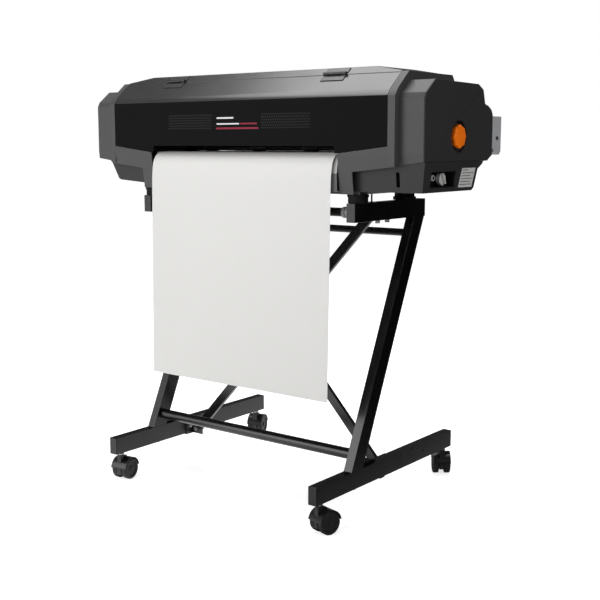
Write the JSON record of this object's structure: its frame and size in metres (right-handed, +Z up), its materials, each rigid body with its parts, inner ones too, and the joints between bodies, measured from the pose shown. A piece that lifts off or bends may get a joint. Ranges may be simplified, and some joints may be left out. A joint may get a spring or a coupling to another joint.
{
  "type": "roll-fed printer cutter",
  "caption": "Roll-fed wide-format printer and cutter on a castored stand, with lifting front cover, sliding head carriage, pinch-roller lift knob and rear roll holder.",
  "frame": {"origin": "centre of the bounding box on the floor under the casters", "axes": "+X to the operator's right along the body, +Y from the front to the rear, +Z up"},
  "size_m": [1.106, 0.6788, 1.128],
  "materials": {
    "stand_black": "satin",
    "stand_plastic": "moulded",
    "pad_rubber": "matte",
    "bolt_zinc": "zinc plated",
    "caster_plastic": "satin",
    "caster_tread": "matte",
    "chassis_steel": "satin",
    "aluminium": "satin",
    "roller_steel": "ground",
    "guide_grey": "satin",
    "apron_grey": "satin",
    "cover_grey": "fine texture",
    "cover_low": "fine texture",
    "cover_top": "satin",
    "panel_black": "satin",
    "end_charcoal": "fine texture",
    "recess_black": "moulded",
    "hinge_black": "satin",
    "belt_rubber": "matte",
    "motor_dark": "satin",
    "unit_grey": "moulded",
    "board_green": "satin",
    "carriage_dark": "satin",
    "pen_blue": "gloss",
    "pinch_rubber": "matte",
    "knob_orange": "satin",
    "valve_grey": "satin",
    "bracket_zinc": "zinc plated",
    "media_white": "satin"
  },
  "bodies": {
    "chassis": {"left_foot": "stand_black", "right_foot": "stand_black", "left_leg": "stand_black", "right_leg": "stand_black", "tube_caps": "stand_plastic", "upper_front_bar": "stand_black", "upper_rear_bar": "stand_black", "lower_cross_tube": "stand_black", "brace_front": "stand_black", "brace_rear": "stand_black", "brace_brackets": "stand_black", "stand_bolts": "bolt_zinc", "body_pads": "pad_rubber", "base_tray": "chassis_steel", "side_frames": "chassis_steel", "rail_beam": "aluminium", "platen": "aluminium", "exit_guide": "guide_grey", "lower_apron": "apron_grey", "left_cover": "cover_grey", "right_cover": "cover_grey", "right_side_panel": "end_charcoal", "left_lower_cover": "cover_low", "right_lower_cover": "cover_low", "top_cover": "cover_top", "rear_cover": "cover_top", "rear_lower_cover": "cover_low", "port_bay": "recess_black", "hinge_mounts": "hinge_black", "timing_belt": "belt_rubber", "drive_motors": "motor_dark", "capping_station": "unit_grey", "electronics": "board_green", "roll_brackets": "bracket_zinc", "media_web": "media_white"},
    "front_cover": {"front_panel": "panel_black", "cover_slope": "cover_top", "hinge_leaves": "hinge_black"},
    "print_carriage": {"carriage": "carriage_dark", "print_head": "unit_grey"},
    "cutter": {"cutter_pen": "pen_blue"},
    "belt_drive": {"drive_pulley": "aluminium"},
    "belt_idler": {"idler_pulley": "aluminium"},
    "feed": {"feed_roller": "roller_steel"},
    "pinch_lift": {"pinch_arms": "unit_grey"},
    "pinch_roll": {"pinch_rollers": "pinch_rubber"},
    "pressure_control": {"pressure_knob": "knob_orange", "cam_shaft": "roller_steel"},
    "roll": {"media_roll": "media_white"},
    "roll_support_front": {"support_roller_front": "motor_dark"},
    "roll_support_rear": {"support_roller_rear": "motor_dark"},
    "drain_valve": {"valve_knob": "valve_grey"},
    "caster_fl_swivel": {"caster_fl_hood": "caster_plastic"},
    "caster_fl_roll": {"caster_fl_wheels": "caster_tread"},
    "caster_fr_swivel": {"caster_fr_hood": "caster_plastic"},
    "caster_fr_roll": {"caster_fr_wheels": "caster_tread"},
    "caster_rl_swivel": {"caster_rl_hood": "caster_plastic"},
    "caster_rl_roll": {"caster_rl_wheels": "caster_tread"},
    "caster_rr_swivel": {"caster_rr_hood": "caster_plastic"},
    "caster_rr_roll": {"caster_rr_wheels": "caster_tread"}
  },
  "joints": [
    {"name": "front_cover_hinge", "type": "hinge", "parent": "chassis", "child": "front_cover", "pos_m": [0, -0.14369, 1.11364], "axis": [-1, 0, 0], "range_deg": [0, 75]},
    {"name": "carriage_slide", "type": "slide", "parent": "chassis", "child": "print_carriage", "axis": [-1, 0, 0], "range_m": [0, 0.73]},
    {"name": "cutter_drop", "type": "slide", "parent": "print_carriage", "child": "cutter", "axis": [0, 0, -1], "range_m": [0, 0.0025]},
    {"name": "drive_pulley_spin", "type": "hinge", "parent": "chassis", "child": "belt_drive", "pos_m": [-0.428, -0.00371, 1.076], "axis": [0, 1, 0], "continuous": true},
    {"name": "idler_pulley_spin", "type": "hinge", "parent": "chassis", "child": "belt_idler", "pos_m": [0.437, -0.00371, 1.076], "axis": [0, 1, 0], "continuous": true},
    {"name": "feed_roller_spin", "type": "hinge", "parent": "chassis", "child": "feed", "pos_m": [0, -0.00171, 0.9085], "axis": [1, 0, 0], "continuous": true},
    {"name": "pinch_lift_hinge", "type": "hinge", "parent": "chassis", "child": "pinch_lift", "pos_m": [0, 0.04629, 0.98], "axis": [-1, 0, 0], "range_deg": [0, 5.3]},
    {"name": "pinch_roller_spin", "type": "hinge", "parent": "pinch_lift", "child": "pinch_roll", "pos_m": [0, -0.00171, 0.9304], "axis": [1, 0, 0], "continuous": true},
    {"name": "pressure_knob_turn", "type": "hinge", "parent": "chassis", "child": "pressure_control", "pos_m": [0, -0.01871, 0.96], "axis": [1, 0, 0], "range_deg": [0, 120]},
    {"name": "media_roll_spin", "type": "hinge", "parent": "chassis", "child": "roll", "pos_m": [0, 0.23629, 1.012], "axis": [1, 0, 0], "continuous": true},
    {"name": "support_front_spin", "type": "hinge", "parent": "chassis", "child": "roll_support_front", "pos_m": [0, 0.20129, 0.95687], "axis": [1, 0, 0], "continuous": true},
    {"name": "support_rear_spin", "type": "hinge", "parent": "chassis", "child": "roll_support_rear", "pos_m": [0, 0.27129, 0.95687], "axis": [1, 0, 0], "continuous": true},
    {"name": "drain_valve_turn", "type": "hinge", "parent": "chassis", "child": "drain_valve", "pos_m": [0.517, -0.06441, 0.8585], "axis": [1, 0, 0], "range_deg": [0, 90]},
    {"name": "caster_fl_swivel_turn", "type": "hinge", "parent": "chassis", "child": "caster_fl_swivel", "pos_m": [-0.35175, -0.31071, 0.08], "axis": [0, 0, 1], "continuous": true},
    {"name": "caster_fl_wheel_spin", "type": "hinge", "parent": "caster_fl_swivel", "child": "caster_fl_roll", "pos_m": [-0.35457, -0.29293, 0.03], "axis": [0.9877, 0.1564, 0], "continuous": true},
    {"name": "caster_fr_swivel_turn", "type": "hinge", "parent": "chassis", "child": "caster_fr_swivel", "pos_m": [0.34575, -0.31071, 0.08], "axis": [0, 0, 1], "continuous": true},
    {"name": "caster_fr_wheel_spin", "type": "hinge", "parent": "caster_fr_swivel", "child": "caster_fr_roll", "pos_m": [0.35041, -0.29332, 0.03], "axis": [0.9659, -0.2588, 0], "continuous": true},
    {"name": "caster_rl_swivel_turn", "type": "hinge", "parent": "chassis", "child": "caster_rl_swivel", "pos_m": [-0.35175, 0.28329, 0.08], "axis": [0, 0, 1], "continuous": true},
    {"name": "caster_rl_wheel_spin", "type": "hinge", "parent": "caster_rl_swivel", "child": "caster_rl_roll", "pos_m": [-0.35791, 0.30021, 0.03], "axis": [0.9397, 0.342, 0], "continuous": true},
    {"name": "caster_rr_swivel_turn", "type": "hinge", "parent": "chassis", "child": "caster_rr_swivel", "pos_m": [0.34575, 0.28329, 0.08], "axis": [0, 0, 1], "continuous": true},
    {"name": "caster_rr_wheel_spin", "type": "hinge", "parent": "caster_rr_swivel", "child": "caster_rr_roll", "pos_m": [0.33492, 0.29767, 0.03], "axis": [0.7986, 0.6018, 0], "continuous": true}
  ],
  "couplings": [
    {"joint": "drive_pulley_spin", "follows": "carriage_slide", "rad_per_m": 80},
    {"joint": "idler_pulley_spin", "follows": "carriage_slide", "rad_per_m": 80},
    {"joint": "pinch_roller_spin", "follows": "feed_roller_spin", "ratio": -1.5625},
    {"joint": "pinch_lift_hinge", "follows": "pressure_knob_turn", "ratio": 0.044166},
    {"joint": "support_front_spin", "follows": "media_roll_spin", "ratio": -3.3333},
    {"joint": "support_rear_spin", "follows": "media_roll_spin", "ratio": -3.3333}
  ]
}
